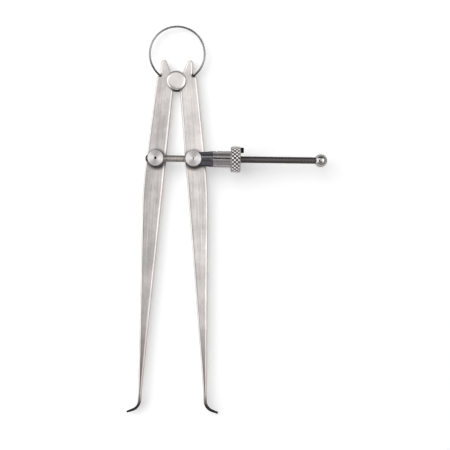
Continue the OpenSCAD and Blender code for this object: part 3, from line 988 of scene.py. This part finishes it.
class CALIPER_OT_nut(bpy.types.Operator):
    """Makes the black cup, the split knurled nut that seats in it and the lug on its end"""

    bl_idname = "caliper.nut"
    bl_label = "Spring nut"

    def cup(self):
        """The cup's cone, whose left end follows the drum: x is the drum's edge at each height."""
        s = sizes()
        cols = 128
        post, end = DRUM_R + s.slide_gap, CUP_HIGH[0] - POST_X
        bore, nose = SCREW_R + s.running_gap, NUT_LOW[0] - POST_X - s.slide_gap
        outline = [[post, bore], [post, CUP_SLIM_R], [end, BODY_R], [end, CUP_MOUTH_R],
                   [nose, CUP_FLOOR_R], [nose, bore], [post, bore]]
        profile = refine(fillet(outline, CUP_ROUNDING), CUP_STEP)
        points = turned_points(profile, (0, 0, 0), "x", cols)
        saddle = np.sqrt(np.maximum(post**2 - points[..., 1] ** 2, 0))
        share = np.clip((end - points[..., 0]) / (end - post), 0, 1)
        points[..., 0] -= share**2 * (post - saddle)
        points += [POST_X, SCREW_Y, SCREW_Z]
        return tidy(grid_mesh("cup_cone", points, (run_of(profile), round_of(BODY_R, cols))))

    def nut(self):
        """The nut's turned profile, and diamond points where opposite ridges cross on its flange."""
        s = sizes()
        start, end = NUT_LOW[0], NUT_HIGH[0]
        bore, body, grip = SCREW_R + s.running_gap, CUP_HIGH[0] + s.slide_gap, end - GRIP_LENGTH
        groove, deep = body + GROOVE_AT, BODY_R - GROOVE_DEPTH
        bevel_r = GRIP_R - GRIP_BEVEL
        outline = [[start, bore], [start, NOSE_TIP_R], [body, NOSE_ROOT_R], [body, BODY_R],
                   [groove, BODY_R], [groove, deep], [groove + GROOVE_WIDTH, deep],
                   [groove + GROOVE_WIDTH, BODY_R], [grip, BODY_R], [grip, bevel_r],
                   [grip + GRIP_BEVEL, GRIP_R], [end - GRIP_BEVEL, GRIP_R], [end, bevel_r],
                   [end, bore], [start, bore]]
        profile = fillet(outline, NUT_ROUNDING, 4)
        knurled = np.minimum(profile[1:, 1], profile[:-1, 1]) > GRIP_R - KNURL_FROM * GRIP_BEVEL
        profile = refine(profile, np.where(knurled, KNURL_STEP, NUT_STEP))
        cols = s.knurl_count * KNURL_COLS
        round_ = np.arange(cols) / cols
        slant = (profile[:, :1] - grip) * s.knurl_count / (TURN * GRIP_R)
        left = np.abs((s.knurl_count * round_ + slant) % 1 - 0.5) * 2
        right = np.abs((s.knurl_count * round_ - slant) % 1 - 0.5) * 2
        fall = np.clip(KNURL_STEEP * np.maximum(left, right) - KNURL_OFFSET, 0, 1)
        rim = np.clip((profile[:, 1:] - bevel_r) / (KNURL_RISE * GRIP_BEVEL), 0, 1)
        radius = profile[:, 1:] - s.knurl_depth * rim * fall
        mesh = turned("nut_split", profile, (0, SCREW_Y, SCREW_Z), "x", cols, radius)
        saw = bar("slit_saw", (start - MM, SCREW_Y - SLIT_HALF, SCREW_Z - 2 * BODY_R),
                  (grip, SCREW_Y + SLIT_HALF, SCREW_Z + 2 * BODY_R))
        return carve(mesh, [saw])

    def lug(self):
        """A short round nub on the flange's outer face."""
        outline = plug(LUG_LOW[0], LUG_HIGH[0], LUG_R)
        profile = refine(fillet(outline, LUG_ROUNDING), LUG_STEP)
        _, y, z = (LUG_LOW + LUG_HIGH) / 2
        return turned("end_lug", profile, (0, y, z), "x", 64)

    def execute(self, context):
        cup_steel = once("cup_steel", blackened_steel, colours().cup)
        place("cup_cone", self.cup(), cup_steel, "right_post", "black_oxide", "nut_cup")
        nut_steel = once("knurled_steel", knurled_steel)
        place("nut_split", self.nut(), nut_steel, "nut", "nut_steel", "spring_nut")
        place("end_lug", self.lug(), black_steel(), "nut", "black_oxide", "nut_lug")
        return {"FINISHED"}


# The stage

# The photograph's frame: the stud's place in it, its scale at the legs and the tool's lean
FRAME_PX = 450
STUD_PX = (176.6, 80.8)
MM_PER_PX = 0.45
LEAN = math.radians(0.79)
LENS = 50.0
SENSOR = 36.0
# Half the table's side, its own glow in the camera's eyes, and the radiance of the surround
TABLE_HALF = 1.5
TABLE_GLOW = 0.375
SURROUND = 0.21
# The lamps: name, place, size, radiance, the point it faces and the rays that miss it, if any
MIDDLE = (0.02, -0.06, 0)
LAMPS = (
    ("key", (-0.9, 0.8, 1.5), (2.1, 2.1), 1.76, MIDDLE, "visible_glossy"),
    ("top_card", (0.37, 0.05, 0.62), (0.94, 0.6), 1.0, (0.37, 0.05, 0), "visible_diffuse"),
    ("left_card", (-1.08, 0, 0.5), (1.62, 1.0), 1.8, MIDDLE, ""),
    ("strip", (-0.29, 0.3, 0.6), (0.3, 0.2), 3.2, (-0.29, 0.3, 0), "visible_diffuse"),
    ("right_card", (0.5, -0.05, 0.5), (0.9, 0.5), 1.35, MIDDLE, "visible_diffuse"),
    ("front_card", (0.02, -0.75, 0.42), (1.2, 0.5), 0.35, MIDDLE, "visible_diffuse"),
)


class CALIPER_OT_stage(bpy.types.Operator):
    """Lays the tool on a white table under soft light, with a camera that looks straight down"""

    bl_idname = "caliper.stage"
    bl_label = "Stage"

    def table(self):
        """A flat white square under the tool."""
        half = TABLE_HALF
        points = np.array([[-half, -half, 0], [half, -half, 0], [half, half, 0], [-half, half, 0]])
        mesh = bpy.data.meshes.new("table")
        mesh.from_pydata(points, [], [[0, 1, 2, 3]])
        made = Finish("table_white", Roughness=0.9, Specular_IOR_Level=0.1)
        made.shader.inputs["Base Color"].default_value = (*colours().table, 1)
        path = made.node("LightPath").outputs
        seen = made.maths("MAXIMUM", path["Is Camera Ray"],
                          made.maths("MAXIMUM", path["Is Glossy Ray"], path["Is Transmission Ray"]))
        made.shader.inputs["Emission Color"].default_value = (1, 1, 1, 1)
        made.to_shader("Emission Strength", made.maths("MULTIPLY", seen, TABLE_GLOW))
        mesh.materials.append(made.material)
        table = bpy.data.objects.new("table", mesh)
        bpy.context.collection.objects.link(table)

    def lamp(self, name, at, size, radiance, aim, unseen):
        """A soft oblong lamp of an even radiance."""
        data = bpy.data.lights.new(name, "AREA")
        data.shape = "RECTANGLE"
        data.size, data.size_y = size
        data.energy = radiance * math.pi * size[0] * size[1]
        lamp = bpy.data.objects.new(name, data)
        bpy.context.collection.objects.link(lamp)
        back = np.subtract(at, aim)
        lamp.location = at
        lamp.rotation_euler = (math.atan2(math.hypot(back[0], back[1]), back[2]), 0,
                               math.atan2(back[0], -back[1]))
        if unseen:
            setattr(lamp, unseen, False)

    def camera(self):
        """The camera over the frame's centre, at the distance that gives the legs their scale."""
        data = bpy.data.cameras.new("camera")
        data.lens = LENS
        data.sensor_width = SENSOR
        far = LENS / SENSOR * FRAME_PX * MM_PER_PX * MM
        right = (FRAME_PX / 2 - STUD_PX[0]) * MM_PER_PX * MM
        up = (STUD_PX[1] - FRAME_PX / 2) * MM_PER_PX * MM
        camera = bpy.data.objects.new("camera", data)
        bpy.context.collection.objects.link(camera)
        camera.location = (right * math.cos(LEAN) - up * math.sin(LEAN),
                           right * math.sin(LEAN) + up * math.cos(LEAN), LEG_HIGH[2] + far)
        camera.rotation_euler = (0, 0, LEAN)
        bpy.context.scene.camera = camera

    def world(self):
        """An even pale surround."""
        world = bpy.data.worlds.new("surround")
        world.use_nodes = True
        shade = world.node_tree.nodes["Background"]
        shade.inputs["Color"].default_value = (1, 1, 1, 1)
        shade.inputs["Strength"].default_value = SURROUND
        bpy.context.scene.world = world

    def execute(self, context):
        self.table()
        for lamp in LAMPS:
            self.lamp(*lamp)
        self.world()
        self.camera()
        bpy.context.scene.view_settings.view_transform = "Standard"
        return {"FINISHED"}


OPERATORS = (CALIPER_OT_legs, CALIPER_OT_stud, CALIPER_OT_bow, CALIPER_OT_posts, CALIPER_OT_screw,
             CALIPER_OT_nut, CALIPER_OT_stage)


class CALIPER_PT_panel(bpy.types.Panel):
    """Lists the caliper's pieces"""

    bl_label = "Spring caliper"
    bl_space_type = "VIEW_3D"
    bl_region_type = "UI"
    bl_category = "Caliper"

    def draw(self, context):
        for step in OPERATORS:
            self.layout.operator(step.bl_idname)


CLASSES = (CALIPER_PG_sizes, CALIPER_PG_colours, *OPERATORS, CALIPER_PT_panel)


def register():
    """Registers the classes and hangs the sizes and colours on the scene."""
    for made in CLASSES:
        bpy.utils.register_class(made)
    bpy.types.Scene.caliper_sizes = PointerProperty(type=CALIPER_PG_sizes)
    bpy.types.Scene.caliper_colours = PointerProperty(type=CALIPER_PG_colours)


def unregister():
    """Takes the sizes, the colours and the classes away again."""
    del bpy.types.Scene.caliper_sizes
    del bpy.types.Scene.caliper_colours
    for made in reversed(CLASSES):
        bpy.utils.unregister_class(made)


def main():
    """Makes every piece and the stage."""
    register()
    bpy.ops.caliper.legs()
    bpy.ops.caliper.stud()
    bpy.ops.caliper.bow()
    bpy.ops.caliper.posts()
    bpy.ops.caliper.screw()
    bpy.ops.caliper.nut()
    bpy.ops.caliper.stage()


if __name__ == "__main__":
    main()
